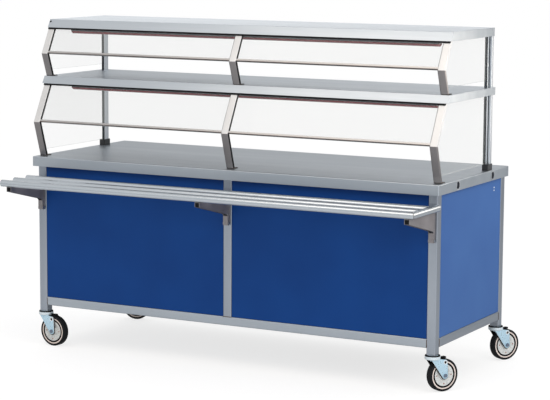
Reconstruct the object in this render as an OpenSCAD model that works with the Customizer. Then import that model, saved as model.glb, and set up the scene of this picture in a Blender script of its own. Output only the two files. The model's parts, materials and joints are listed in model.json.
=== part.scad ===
// Mobile serving counter: a stainless cabinet on four swivel casters, with a glazed
// two-tier display stand on top and a fold-down tray slide along the front.
// X runs along the counter, Y from the customer's side to the back, Z up from the floor.

/* [Counter] */
// Length of the counter top
counter_l = 1880; // [1700:10:2100]
// Depth of the counter top
counter_d = 724; // [680:1:800]
// Height of the working surface above the floor
counter_h = 820; // [790:1:900]
// Height of the turned-down edge of the counter top
counter_edge = 42; // [42:1:60]
// Thickness of the counter sheet
counter_t = 2; // [1.5:0.1:3]
// Radius of the folds and corners of the counter sheet
fold_r = 4; // [3.2:0.1:5]
// How far the counter top stands over the legs at each end
end_overhang = 14; // [14:1:30]
// How far the counter top stands over the front legs
front_overhang = 24; // [22:1:40]
// How far the counter top stands over the rear legs
rear_overhang = 6; // [4:1:30]

/* [Link cups] */
// Radius of the recess that takes the neighbour's link pin
cup_bore_r = 14.5; // [10:0.5:15]
// Depth of the recess
cup_depth = 10; // [6:0.5:11]
// Wall of the cup
cup_wall = 2; // [1:0.1:2.5]
// Width of the cup's rim outside its barrel
cup_lip = 2.5; // [1:0.1:2.5]
// Thickness of the cup's rim
cup_rim_t = 1.5; // [0.8:0.1:2]
// Place of the front cup behind the counter's front edge
cup_front_y = 186; // [120:1:260]
// Place of the rear cup behind the counter's front edge
cup_rear_y = 545; // [480:1:620]

/* [Frame] */
// Width of the square leg tube
leg_w = 38; // [32:1:42]
// Wall of the leg tube
leg_wall = 2; // [1.5:0.1:3]
// Corner radius of the frame tubes
tube_r = 3; // [2.5:0.1:5]
// Height of the leg's lower end above the floor
leg_bottom = 148; // [140:1:170]
// Underside of the lower rails above the floor
rail_bottom = 176; // [174:1:200]
// Height of the lower rails
rail_h = 36; // [30:1:45]
// Width of the frame rails
rail_w = 25.4; // [20:0.1:30]
// Wall of the frame rails
rail_wall = 1.6; // [1.2:0.1:2.5]
// Height of the rails under the counter top
top_rail_h = 29; // [20:1:35]

/* [Panels] */
// Thickness of the panel and undershelf sheet
sheet_t = 1.2; // [0.8:0.1:2]
// Depth of the folded edge of each panel
panel_fold = 12; // [8:1:20]
// How far the panels lie behind the leg faces
panel_inset = 2; // [1:0.5:5]
// Open joint between a panel and the frame round it
panel_gap = 0.8; // [0.3:0.1:0.9]
// Height of the undershelf's folded edge
shelf_fold = 24; // [12:1:30]
// Head radius of the small panel rivets
rivet_r = 3; // [2:0.5:5]
// Head height of the small panel rivets
rivet_h = 1; // [0.6:0.1:1.5]
// Distance of the rivets in front of the end panel's rear edge
rivet_back = 75; // [50:1:120]
// Height of the upper rivet under the counter surface
rivet_drop = 78; // [74:1:100]
// Spacing of the two rivets
rivet_pitch = 12; // [10:1:30]

/* [Display shelves] */
// Height from the counter surface to the top of the middle shelf
lower_tier_h = 337; // [330:1:400]
// Height from the middle shelf to the top of the top shelf
upper_tier_h = 240; // [235:1:300]
// How far each end of the middle shelf lies inside the counter's end
mid_shelf_inset = 1; // [0:0.5:2]
// How far each end of the top shelf lies inside the counter's end
top_shelf_inset = 7; // [5:0.5:7]
// Height of the middle shelf's turned-down edge
mid_edge = 31; // [25:0.5:40]
// Height of the top shelf's turned-down edge
top_edge = 34.5; // [25:0.5:40]
// Angle by which the shelf's front edge flares forward
flare = 30; // [28.5:0.5:34]
// Thickness of the shelf sheet
shelf_t = 1.5; // [1.2:0.1:2]
// Distance from the counter's front edge to the rear edge of the top shelf
stand_rear_y = 556; // [520:1:600]
// How far the middle shelf stands out behind the top shelf
mid_rear_lap = 4; // [0:0.5:10]
// Height of the dark trim strip under the shelf's front edge
trim_h = 7; // [3:0.5:8]
// Thickness of the trim strip
trim_t = 3; // [2:0.1:4]

/* [Display posts] */
// Width of the mitred front posts
post_w = 30; // [28:0.5:32]
// Depth of the mitred front posts
post_d = 12.7; // [11:0.1:19]
// Wall of the post tubes
post_wall = 1.6; // [1.2:0.1:2.5]
// Distance of the outer front posts from the counter's end
post_inset = 25; // [24.6:0.1:30]
// How far the lower knee stands in front of the counter's edge
lower_knee_reach = 4; // [0:0.5:10]
// Height of the lower knee above the counter surface
lower_knee_h = 147; // [120:1:170]
// Forward lean of the lower posts below the knee
lower_lean = 18; // [10:0.5:22]
// How far the upper knee stands in front of the lower posts' front at the middle shelf
upper_knee_reach = 36; // [30:0.5:45]
// Height of the upper knee above the middle shelf
upper_knee_h = 97; // [80:1:110]
// Forward lean of the upper posts below the knee
upper_lean = 20.5; // [20:0.5:24]
// Backward lean of all the posts above the knee
back_lean = 27.7; // [24:0.1:28]
// Thickness of the post's foot plate
foot_t = 3; // [2:0.5:5]
// How far the foot plate runs out behind the post
foot_tail = 28; // [10:1:40]
// Width of the square rear posts
rear_post_w = 19; // [16:0.1:19.6]
// Distance of the rear posts from the counter's end
rear_post_inset = 18.5; // [18:0.1:22]
// Height of the shoes round the rear posts
shoe_h = 26; // [15:1:40]
// Wall of the shoes
shoe_wall = 3; // [2:0.1:5]

/* [Glass] */
// Thickness of the glass
glass_t = 6; // [4:0.5:8]
// Height of the end glass above what it stands over
end_glass_lift = 27; // [20:1:40]
// Height of the rail that carries the front glass
knee_rail_h = 10; // [8:0.5:16]
// How far that rail stands above the knee
knee_rail_lift = 4; // [0:0.5:6]
// Wall of the knee rail and the glass channels
channel_wall = 2; // [1.5:0.1:2.5]
// Depth of the glass channels at the rear posts
channel_d = 22; // [16:1:28]
// Head radius of the channel screws
screw_head_r = 4; // [3:0.1:5]
// Head height of the channel screws
screw_head_h = 1.6; // [1:0.1:2.5]
// Shank radius of the channel screws
screw_r = 2; // [1.5:0.1:2.5]
// Height of the upper channel screw below the shelf
screw_drop = 28; // [15:1:40]
// Spacing of the two screws in a channel
screw_pitch = 120; // [90:1:150]

/* [Lamps] */
// Distance of the lamp behind the counter's front edge
lamp_y = 192; // [185:1:260]
// Width of the lamp housing at its top
lamp_w = 64; // [56:1:80]
// Width of the lamp housing at its mouth
lamp_mouth = 46; // [36:1:54]
// Height of the lamp housing
lamp_h = 49; // [30:1:55]
// How far the lens hangs out of the housing
lens_drop = 8; // [4:0.5:12]
// Distance of the lamp's end from the counter's end
lamp_inset = 90; // [60:1:200]
// Sheet thickness of the lamp housing
lamp_t = 1; // [0.8:0.1:1.6]

/* [Tray slide] */
// Diameter of the slide tubes
bar_w = 28.6; // [20:0.1:30]
// Wall of the slide tubes
bar_wall = 1.5; // [1:0.1:2.5]
// Spacing of the slide tubes
bar_pitch = 91; // [70:1:100]
// Distance of the rear tube's centre in front of the counter's edge
bar_first = 36; // [30:1:60]
// Drop of the brackets' upper face below the counter surface
slide_drop = 106; // [90:1:130]
// How far the free tube ends stand out past the counter's end
bar_overrun = 0; // [0:1:20]
// Radius of the rounded rim of the end caps
cap_dome_r = 3; // [1:0.5:4]
// Length of the end caps over the tube ends
cap_l = 5; // [4:0.5:8]
// How far the brackets' front ends lie behind the front of the slide
bracket_setback = 12; // [2:1:13]
// Width of a bracket
bracket_w = 22; // [18:0.5:26]
// Sheet thickness of a bracket
bracket_t = 2; // [1.5:0.1:3]
// Height of the bracket's open front end
bracket_nose = 20; // [14:1:28]
// Height of the bracket where its arm meets its leg
bracket_root = 74; // [55:1:90]
// Depth of the bracket's leg
bracket_leg = 16; // [14:0.5:20]
// Drop of the hinge pin below the brackets' upper face
pin_drop = 114; // [96:1:134]
// Radius of the hinge pin
pin_r = 4; // [3:0.1:5]
// Height of the open window in front of the hinge
hinge_window = 16; // [14:1:24]

/* [Casters] */
// Radius of the wheel
wheel_r = 65; // [60:0.5:66]
// Width of the tread
tread_w = 32; // [26:1:34]
// Shoulder radius of the tyre
tread_r = 6; // [3:0.5:8]
// Outer radius of the wheel body
rim_r = 56; // [52:0.5:58]
// Distance of the axle behind the swivel axis
trail = 46; // [38:1:50]
// Radius of the axle
axle_r = 6; // [5:0.1:6.5]
// Radius of the kingpin
king_r = 6; // [5:0.1:7]
// Thickness of the fork plates
fork_t = 3; // [2.5:0.1:4]
// Radius of the swivel cup
crown_r = 31; // [29:0.5:34]
// Height of the swivel cup
crown_h = 13; // [11:0.5:14]
// Thickness of the dust ring over the cup
ring_t = 3.7; // [3:0.1:4]
// Radius of the fork's foot round the axle
foot_r = 13; // [11:0.5:16]
// Radius of the eye in the fork plate
eye_r = 4; // [3:0.5:5]
// Height of the eye above the floor
eye_h = 118; // [112:1:119]
// Heading of the front left caster
heading_fl = -5; // [-180:1:180]
// Heading of the front right caster
heading_fr = 58; // [-180:1:180]
// Heading of the rear left caster
heading_rl = 12; // [-180:1:180]
// Heading of the rear right caster
heading_rr = 58; // [-180:1:180]

/* [Fits] */
// Radial clearance of a turning pin or shaft
run_fit = 0.05; // [0.02:0.01:0.1]
// Gap between pieces that seat on each other
seat_gap = 0.3; // [0.1:0.05:0.5]
// Gap beside pieces that slide past each other
side_gap = 0.5; // [0.4:0.1:1]
// Weld gap at the coped ends of the slide tubes
weld_gap = 0.3; // [0.1:0.05:0.5]

/* [Hidden] */
$fn = 48;

half_l = counter_l / 2;
leg_x = half_l - end_overhang - leg_w / 2;
leg_front_y = front_overhang + leg_w / 2;
leg_rear_y = counter_d - rear_overhang - leg_w / 2;
leg_out = leg_x + leg_w / 2;
leg_in = leg_x - leg_w / 2;
frame_front = front_overhang;
frame_rear = counter_d - rear_overhang;
rail_top = rail_bottom + rail_h;
top_under = counter_h - counter_t;
panel_top = top_under - top_rail_h - panel_gap;
cup_z = counter_h - counter_edge / 2;
cup_out_r = cup_bore_r + cup_wall;

mid_z = counter_h + lower_tier_h;
top_z = mid_z + upper_tier_h;
post_x = half_l - post_inset;
rear_post_x = half_l - rear_post_inset;
rear_post_y = stand_rear_y - shelf_t - seat_gap - rear_post_w / 2;
channel_w = glass_t + 2 * seat_gap + 2 * channel_wall;
channel_back_y = rear_post_y - rear_post_w / 2;

// A tier holds its floor, its knee's height and front face, its roof and its lean below the knee
lower = [counter_h, counter_h + lower_knee_h, -lower_knee_reach, mid_z - shelf_t, lower_lean];
upper_knee_y = above_y(lower, lower[3], 0) - upper_knee_reach;
upper = [mid_z, mid_z + upper_knee_h, upper_knee_y, top_z - shelf_t, upper_lean];
tiers = [lower, upper];
sides = [-1, 1];

slide_h = counter_h - slide_drop;
pin_h = slide_h - pin_drop;
bar_z = slide_h + bar_w / 2;
bars_y = [for (i = [0:2]) -bar_first - i * bar_pitch];
bar_end_x = half_l - bar_w / 2;
bar_start_x = -half_l - bar_overrun;
slide_front_y = bars_y[2] - bar_w / 2;
bracket_front_y = slide_front_y + bracket_setback;
bracket_back_y = frame_front - side_gap;
pin_y = bracket_back_y - bracket_leg / 2;
brackets_x = [-leg_x, 0, leg_x];
lug_w = bracket_w - 2 * bracket_t - 2 * side_gap;
lug_r = bracket_leg / 2 - side_gap;

crown_top = leg_bottom - ring_t - seat_gap;
crown_bottom = crown_top - crown_h;
fork_in = tread_w / 2 + 3;
king_nut_h = 7;
king_nut_r = 10;
collar_r = leg_w / 2 + 3;
casters = [
    [-leg_x, leg_front_y, heading_fl],
    [leg_x, leg_front_y, heading_fr],
    [-leg_x, leg_rear_y, heading_rl],
    [leg_x, leg_rear_y, heading_rr],
];

// How far a caster's wheel reaches along a direction that makes an angle with its heading
function wheel_reach(a) = trail * cos(a) + wheel_r * abs(cos(a)) + tread_w / 2 * abs(sin(a));
reach_right = max([for (c = casters) c[0] + wheel_reach(c[2])]);
reach_back = max([for (c = casters) c[1] + wheel_reach(c[2] - 90)]);
plan_x = (bar_start_x - cap_l + max(reach_right, half_l + cup_rim_t)) / 2;
plan_y = (slide_front_y + max(reach_back, counter_d)) / 2;

// Colours as the photograph shows them
steel = "#B3BAC2";
dark_steel = "#7F7A7C";
zinc = "#B9D3E2";
blue = "#1C427E";
side_blue = "#3F68A6";
glass = [0.92, 0.95, 0.95, 0.3];
black = "#17181A";
lens_red = "#8A3A34";

// Moves the counter's own frame to the middle of the footprint
module on_plan() {
    translate([-plan_x, -plan_y, 0]) children();
}

// Turns a flat profile drawn in Y and Z into a bar along X
module along_x(x0, l) {
    translate([x0, 0, 0])
        rotate([90, 0, 90])
            linear_extrude(l) children();
}

// Turns a flat profile drawn in X and Z into a bar along Y
module along_y(y0, l) {
    translate([0, y0 + l, 0])
        rotate([90, 0, 0])
            linear_extrude(l) children();
}

module both_ends() {
    children();
    mirror([1, 0, 0]) children();
}

// A rectangle about its centre with round corners
module round_rect(w, d, r) {
    square([w - 2 * r, d], center = true);
    square([w, d - 2 * r], center = true);
    for (x = sides, y = sides)
        translate([x * (w / 2 - r), y * (d / 2 - r)]) circle(r);
}

module tube_section(w, d, wall, r) {
    difference() {
        round_rect(w, d, r);
        round_rect(w - 2 * wall, d - 2 * wall, r - wall / 2);
    }
}

// A block with round upright corners and a round upper edge
module pan_block(x, y, h, r) {
    translate([-x / 2, 0, 0]) {
        translate([r, r, 0]) cube([x - 2 * r, y - 2 * r, h]);
        translate([0, r, 0]) cube([x, y - 2 * r, h - r]);
        translate([r, 0, 0]) cube([x - 2 * r, y, h - r]);
        for (cx = [r, x - r], cy = [r, y - r]) {
            translate([cx, cy, 0]) cylinder(r = r, h = h - r);
            translate([cx, cy, h - r]) sphere(r);
        }
        for (cy = [r, y - r])
            translate([r, cy, h - r]) rotate([0, 90, 0]) cylinder(r = r, h = x - 2 * r);
        for (cx = [r, x - r])
            translate([cx, r, h - r]) rotate([-90, 0, 0]) cylinder(r = r, h = y - 2 * r);
    }
}

// A round button that stands on Z with a rounded upper rim
module button(r, h, edge) {
    rotate_extrude() {
        square([r, h - edge]);
        square([r - edge, h]);
        intersection() {
            translate([r - edge, h - edge]) circle(edge);
            square([r, h]);
        }
    }
}

module counter_top() {
    color(steel) on_plan() difference() {
        translate([0, 0, counter_h - counter_edge])
            pan_block(counter_l, counter_d, counter_edge, fold_r);
        translate([0, counter_t, counter_h - counter_edge - counter_t])
            pan_block(counter_l - 2 * counter_t, counter_d - 2 * counter_t, counter_edge,
                fold_r - counter_t / 2);
        for (y = [cup_front_y, cup_rear_y], s = sides)
            translate([s * half_l, y, cup_z])
                rotate([0, 90, 0])
                    cylinder(r = cup_out_r + seat_gap / 2, h = 4 * counter_t, center = true);
    }
}

// A cup whose mouth faces up, with its rim standing on the sheet's face
module link_cup() {
    difference() {
        union() {
            cylinder(r = cup_out_r + cup_lip, h = cup_rim_t);
            translate([0, 0, cup_rim_t - cup_depth - cup_wall])
                cylinder(r = cup_out_r, h = cup_depth + cup_wall);
        }
        translate([0, 0, cup_rim_t - cup_depth])
            cylinder(r = cup_bore_r, h = cup_depth + cup_rim_t);
    }
}

module link_cups() {
    color(dark_steel) on_plan()
        both_ends()
            for (y = [cup_front_y, cup_rear_y])
                translate([half_l, y, cup_z]) rotate([0, 90, 0]) link_cup();
}

module leg(x, y) {
    color(steel) on_plan()
        translate([x, y, leg_bottom])
            linear_extrude(top_under - leg_bottom) tube_section(leg_w, leg_w, leg_wall, tube_r);
}

module leg_front_left() leg(-leg_x, leg_front_y);
module leg_front_right() leg(leg_x, leg_front_y);
module leg_rear_left() leg(-leg_x, leg_rear_y);
module leg_rear_right() leg(leg_x, leg_rear_y);

module centre_post() {
    color(steel) on_plan()
        translate([0, leg_front_y, rail_top])
            linear_extrude(top_under - rail_top) tube_section(leg_w, leg_w, leg_wall, tube_r);
}

module long_rail(y, z, h) {
    color(steel) on_plan()
        along_x(-leg_in, 2 * leg_in)
            translate([y, z + h / 2]) tube_section(rail_w, h, rail_wall, tube_r);
}

module short_rails(z, h) {
    color(steel) on_plan()
        both_ends()
            along_y(frame_front + leg_w, frame_rear - frame_front - 2 * leg_w)
                translate([leg_out - rail_w / 2, z + h / 2]) tube_section(rail_w, h, rail_wall, tube_r);
}

module front_rail() long_rail(frame_front + rail_w / 2, rail_bottom, rail_h);
module rear_rail() long_rail(frame_rear - rail_w / 2, rail_bottom, rail_h);
module end_rails() short_rails(rail_bottom, rail_h);

// The rails under the counter top: the front one stands in two lengths beside the centre post
module top_rails() {
    z = top_under - top_rail_h;
    short_rails(z, top_rail_h);
    long_rail(frame_rear - rail_w / 2, z, top_rail_h);
    color(steel) on_plan()
        both_ends()
            along_x(leg_w / 2, leg_in - leg_w / 2)
                translate([frame_front + rail_w / 2, z + top_rail_h / 2])
                    tube_section(rail_w, top_rail_h, rail_wall, tube_r);
}

// A folded panel that faces up, with its edges turned down behind its face
module panel(w, d) {
    translate([0, 0, -panel_fold]) difference() {
        cube([w, d, panel_fold]);
        translate([sheet_t, sheet_t, -sheet_t])
            cube([w - 2 * sheet_t, d - 2 * sheet_t, panel_fold]);
    }
}

module front_panel(x0) {
    color(blue) on_plan()
        translate([x0, frame_front + panel_inset, rail_top + panel_gap])
            rotate([90, 0, 0])
                panel(leg_in - leg_w / 2 - 2 * panel_gap, panel_top - rail_top - panel_gap);
}

module front_panel_left() front_panel(-leg_in + panel_gap);
module front_panel_right() front_panel(leg_w / 2 + panel_gap);

module end_panel() {
    translate([leg_out - panel_inset, frame_front + leg_w + panel_gap, rail_top + panel_gap])
        rotate([90, 0, 90])
            panel(frame_rear - frame_front - 2 * leg_w - 2 * panel_gap, panel_top - rail_top - panel_gap);
}

module end_panel_left() color(side_blue) on_plan() mirror([1, 0, 0]) end_panel();
module end_panel_right() color(side_blue) on_plan() end_panel();

// Two small rivets near the upper rear corner of each end panel
module panel_rivets() {
    color(steel) on_plan()
        both_ends()
            for (i = [0, 1])
                translate([leg_out - panel_inset, frame_rear - leg_w - rivet_back,
                    counter_h - rivet_drop - i * rivet_pitch])
                    rotate([0, 90, 0]) button(rivet_r, rivet_h, rivet_h * 0.6);
}

// The undershelf's outline: the space inside the rails, notched round the legs
module undershelf_plan(inset) {
    x = leg_out - rail_w - inset;
    y0 = frame_front + rail_w + inset;
    y1 = frame_rear - rail_w - inset;
    translate([-leg_in + inset, y0]) square([2 * (leg_in - inset), y1 - y0]);
    translate([-x, frame_front + leg_w + inset])
        square([2 * x, frame_rear - frame_front - 2 * leg_w - 2 * inset]);
}

module undershelf() {
    color(steel) on_plan() difference() {
        translate([0, 0, rail_top - shelf_fold]) linear_extrude(shelf_fold) undershelf_plan(0);
        translate([0, 0, rail_top - shelf_fold - sheet_t])
            linear_extrude(shelf_fold) undershelf_plan(sheet_t);
    }
}

// Front face of a tier's posts, d behind it, at height z below and above the knee
function below_y(t, z, d) = t[2] + (t[1] - z) * tan(t[4]) + d / cos(t[4]);
function above_y(t, z, d) = t[2] + (z - t[1]) * tan(back_lean) + d / cos(back_lean);
// The knee's own mitre line, d behind the front face
function knee_point(t, d) = [t[2], t[1]]
    + d * [cos(t[4]) + cos(back_lean), sin(t[4]) - sin(back_lean)] / (1 + cos(t[4] + back_lean));

// The post's side view from height z0 to z1, as a line of points at a distance d behind its front
function side_line(t, d, z0, z1) = [[below_y(t, z0, d), z0], knee_point(t, d), [above_y(t, z1, d), z1]];
function backwards(v) = [for (i = [len(v) - 1:-1:0]) v[i]];

// The band between two such lines
module side_band(t, d0, d1, z0, z1) {
    polygon(concat(side_line(t, d0, z0, z1), backwards(side_line(t, d1, z0, z1))));
}

// A tube mitred at its knee and cut level at its foot and its head
module knee_post(t, z0) {
    w = post_w - 2 * post_wall;
    difference() {
        along_x(-post_w / 2, post_w) side_band(t, 0, post_d, z0, t[3]);
        along_x(-w / 2, w) side_band(t, post_wall, post_d - post_wall, z0 - post_wall, t[3] + post_wall);
    }
}

module tier_posts(t) {
    color(dark_steel) on_plan()
        for (x = [-post_x, 0, post_x])
            translate([x, 0, 0]) knee_post(t, t[0] + foot_t);
}

module lower_posts() tier_posts(lower);
module upper_posts() tier_posts(upper);

// A foot plate under each front post, running out behind it
module post_feet() {
    color(dark_steel) on_plan()
        for (t = tiers, x = [-post_x, 0, post_x]) {
            y0 = below_y(t, t[0], 0);
            y1 = below_y(t, t[0], post_d);
            translate([x, (y0 + y1 + foot_tail) / 2, t[0]])
                linear_extrude(foot_t) round_rect(post_w, y1 - y0 + foot_tail, tube_r);
        }
}

module rear_posts() {
    color(steel) on_plan()
        both_ends()
            for (t = tiers)
                translate([rear_post_x, rear_post_y, t[0]])
                    linear_extrude(t[3] - t[0])
                        tube_section(rear_post_w, rear_post_w, post_wall, tube_r);
}

// Dark collars that hold the rear posts and the glass channels to the counter
module post_shoes() {
    x0 = post_x - channel_w / 2 - shoe_wall;
    x1 = rear_post_x + rear_post_w / 2 + shoe_wall;
    y0 = channel_back_y - channel_d - shoe_wall;
    y1 = rear_post_y + rear_post_w / 2 + shoe_wall;
    pocket = rear_post_w + seat_gap;
    color(black) on_plan()
        both_ends()
            difference() {
                translate([(x0 + x1) / 2, (y0 + y1) / 2, counter_h])
                    linear_extrude(shoe_h) round_rect(x1 - x0, y1 - y0, tube_r);
                translate([rear_post_x, rear_post_y, counter_h + shoe_h / 2])
                    cube([pocket, pocket, 2 * shoe_h], center = true);
                translate([post_x, channel_back_y - channel_d / 2, counter_h + shoe_h / 2])
                    cube([channel_w + seat_gap, channel_d + seat_gap, 2 * shoe_h], center = true);
            }
}

// The shelf's profile behind its flared front edge
module shelf_profile(front_y, z, edge, back_y, t) {
    lip = edge * tan(flare);
    polygon([
        [front_y + t * (1 / cos(flare) - tan(flare)), z - t],
        [back_y - t, z - t],
        [back_y - t, z - edge - t],
        [front_y + t * (1 / cos(flare) - tan(flare)) - lip, z - edge - t],
    ]);
}

// The outer edge of a shelf's top, just in front of its posts
function shelf_front(t) = above_y(t, t[3], 0) - seat_gap - shelf_t * (1 / cos(flare) - tan(flare));

module shelf(t, edge, inset, back_y) {
    l = counter_l - 2 * inset;
    z = t[3] + shelf_t;
    front_y = shelf_front(t);
    color(steel) on_plan() difference() {
        along_x(-l / 2, l)
            polygon([
                [front_y, z],
                [back_y, z],
                [back_y, z - edge],
                [front_y - edge * tan(flare), z - edge],
            ]);
        along_x(-l / 2 + shelf_t, l - 2 * shelf_t)
            shelf_profile(front_y, z, edge, back_y, shelf_t);
    }
}

module middle_shelf() shelf(lower, mid_edge, mid_shelf_inset, stand_rear_y + mid_rear_lap);
module top_shelf() shelf(upper, top_edge, top_shelf_inset, stand_rear_y);

// Dark strips that close the gap between the shelf's lip and the posts
module shelf_trims() {
    edges = [mid_edge, top_edge];
    color(black) on_plan()
        for (i = [0, 1]) {
            z = tiers[i][3] + shelf_t - edges[i];
            y0 = above_y(tiers[i], z, -seat_gap);
            y1 = above_y(tiers[i], z - trim_h, -seat_gap);
            along_x(-post_x - post_w / 2, 2 * post_x + post_w)
                polygon([[y0, z], [y0 - trim_t, z], [y1 - trim_t, z - trim_h], [y1, z - trim_h]]);
        }
}

// Children drawn in the plane of the front glass: X along it, Y through it, Z up it from the knee
module in_glass_plane(t) {
    translate([0, t[2], t[1]])
        rotate([-back_lean, 0, 0])
            translate([0, post_d / 2, 0]) children();
}

module front_glass(t) {
    x0 = post_w / 2 + seat_gap;
    x1 = post_x - post_w / 2 - seat_gap;
    s0 = knee_rail_lift + channel_wall;
    s1 = (t[3] - seat_gap - t[1] + (post_d - glass_t) / 2 * sin(back_lean)) / cos(back_lean);
    color(glass) on_plan()
        both_ends()
            in_glass_plane(t)
                translate([x0, -glass_t / 2, s0]) cube([x1 - x0, glass_t, s1 - s0]);
}

module lower_front_glass() front_glass(lower);
module upper_front_glass() front_glass(upper);

// A channel under each front glass, from post to post
module knee_rails() {
    x0 = post_w / 2;
    l = post_x - post_w;
    color(steel) on_plan()
        for (t = tiers)
            both_ends()
                in_glass_plane(t)
                    difference() {
                        translate([x0, -channel_w / 2, knee_rail_lift])
                            cube([l, channel_w, knee_rail_h]);
                        translate([0, -glass_t / 2 - seat_gap, knee_rail_lift + channel_wall])
                            cube([post_x, glass_t + 2 * seat_gap, knee_rail_h]);
                    }
}

// The end glass follows the posts in front and stands in the channel behind
module end_glass(t) {
    z0 = t[0] + end_glass_lift;
    z1 = t[3] - seat_gap;
    d = post_d + seat_gap;
    y1 = channel_back_y - channel_wall - seat_gap;
    color(glass) on_plan()
        both_ends()
            along_x(post_x - glass_t / 2, glass_t)
                polygon(concat(side_line(t, d, z0, z1), [[y1, z1], [y1, z0]]));
}

module lower_end_glass() end_glass(lower);
module upper_end_glass() end_glass(upper);

// Heights of the two screws in a tier's glass channel
function screw_zs(t) = [t[3] - screw_drop, t[3] - screw_drop - screw_pitch];
screw_y = channel_back_y - channel_d / 2;

module glass_channels() {
    color(steel) on_plan()
        both_ends()
            for (t = tiers)
                difference() {
                    translate([post_x - channel_w / 2, channel_back_y - channel_d, t[0]])
                        cube([channel_w, channel_d, t[3] - t[0]]);
                    translate([post_x - channel_w / 2 + channel_wall,
                        channel_back_y - channel_d - channel_wall, t[0] - channel_wall])
                        cube([channel_w - 2 * channel_wall, channel_d, t[3] - t[0] + 2 * channel_wall]);
                    for (z = screw_zs(t))
                        translate([post_x + channel_w / 2 - 2 * channel_wall, screw_y, z])
                            rotate([0, 90, 0]) cylinder(r = screw_r + run_fit, h = 3 * channel_wall);
                }
}

// Pan-head screws through the outer cheek of each glass channel
module channel_screws() {
    color(dark_steel) on_plan()
        both_ends()
            for (t = tiers, z = screw_zs(t))
                translate([post_x + channel_w / 2, screw_y, z])
                    rotate([0, 90, 0]) {
                        translate([0, 0, -channel_wall])
                            cylinder(r = screw_r, h = channel_wall + screw_head_h / 2);
                        rotate_extrude()
                            intersection() {
                                translate([0, screw_head_h - screw_head_r * 2]) circle(screw_head_r * 2);
                                square([screw_head_r, screw_head_h]);
                            }
                    }
}

module lamp_outline(inset) {
    polygon([
        [-lamp_w / 2 + inset, 0],
        [lamp_w / 2 - inset, 0],
        [lamp_mouth / 2 - inset, -lamp_h],
        [-lamp_mouth / 2 + inset, -lamp_h],
    ]);
}

// A folded housing under each shelf, closed at its ends and open below
module lamp_housings() {
    l = counter_l - 2 * lamp_inset;
    color(dark_steel) on_plan()
        for (t = tiers)
            translate([0, lamp_y, t[3]])
                difference() {
                    along_x(-l / 2, l) lamp_outline(0);
                    translate([0, 0, -lamp_t])
                        along_x(-l / 2 + lamp_t, l - 2 * lamp_t) lamp_outline(lamp_t);
                }
}

// The bulging lens that closes the mouth of each housing
module lamp_lenses() {
    l = counter_l - 2 * lamp_inset;
    w = lamp_mouth / 2;
    r = (w * w + lens_drop * lens_drop) / (2 * lens_drop);
    color(lens_red) on_plan()
        for (t = tiers)
            along_x(-l / 2, l)
                translate([lamp_y, t[3] - lamp_h])
                    intersection() {
                        translate([0, r - lens_drop]) circle(r, $fn = 96);
                        translate([-w, -lens_drop]) square([2 * w, lens_drop]);
                    }
}

module bar_section() {
    difference() {
        circle(bar_w / 2);
        circle(bar_w / 2 - bar_wall);
    }
}

// The middle and rear tubes are coped round the end tube
module slide_bar(y) {
    color(steel) on_plan()
        difference() {
            along_x(bar_start_x, bar_end_x - bar_start_x) translate([y, bar_z]) bar_section();
            along_y(slide_front_y, -slide_front_y)
                translate([bar_end_x, bar_z]) circle(bar_w / 2 + weld_gap);
        }
}

module slide_middle_bar() slide_bar(bars_y[1]);
module slide_rear_bar() slide_bar(bars_y[0]);

// The quarter of the plan behind the mitre at the slide's right front corner
module mitre_wedge() {
    translate([bar_end_x, bars_y[2], bar_z - bar_w])
        linear_extrude(2 * bar_w)
            polygon([[-bar_w, bar_w], [bar_w, -bar_w], [2 * bar_w, -bar_w], [2 * bar_w, bar_w]]);
}

module slide_front_bar() {
    color(steel) on_plan()
        difference() {
            along_x(bar_start_x, half_l - bar_start_x) translate([bars_y[2], bar_z]) bar_section();
            mitre_wedge();
        }
}

// The tube that closes the slide's right end and returns to the leg
module slide_end_bar() {
    color(steel) on_plan()
        intersection() {
            along_y(slide_front_y, bracket_back_y - slide_front_y)
                translate([bar_end_x, bar_z]) bar_section();
            union() {
                mitre_wedge();
                translate([bar_end_x - bar_w, bars_y[2] + bar_w / 2, bar_z - bar_w])
                    cube([3 * bar_w, bracket_back_y - bars_y[2], 2 * bar_w]);
            }
        }
}

// Caps with a rounded rim on the three free tube ends
module bar_end_caps() {
    color(steel) on_plan()
        for (y = bars_y)
            translate([bar_start_x, y, bar_z])
                rotate([0, -90, 0]) button(bar_w / 2, cap_l, cap_dome_r);
}

// The side view of a bracket: a tapering arm and a leg with a round foot at the hinge
module bracket_side() {
    arm_z = slide_h - bracket_root;
    polygon([
        [bracket_front_y, slide_h - bracket_nose],
        [bracket_front_y, slide_h],
        [bracket_back_y, slide_h],
        [bracket_back_y, pin_h],
        [bracket_back_y - bracket_leg, pin_h],
        [bracket_back_y - bracket_leg, arm_z - bracket_leg / 2],
        [bracket_back_y - 1.5 * bracket_leg, arm_z],
    ]);
    translate([pin_y, pin_h]) circle(bracket_leg / 2);
}

// The same side view drawn in by the sheet's thickness, open below and behind
module bracket_hollow() {
    arm_z = slide_h - bracket_root;
    front = bracket_back_y - bracket_leg + bracket_t;
    polygon([
        [bracket_front_y - bracket_t, arm_z - bracket_leg],
        [bracket_front_y - bracket_t, slide_h - bracket_t],
        [bracket_back_y + bracket_t, slide_h - bracket_t],
        [bracket_back_y + bracket_t, pin_h - bracket_leg],
        [front, pin_h - bracket_leg],
        [front, arm_z - bracket_leg],
    ]);
    translate([bracket_front_y, pin_h - bracket_leg])
        square([bracket_back_y - bracket_front_y, bracket_leg + hinge_window]);
}

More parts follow.
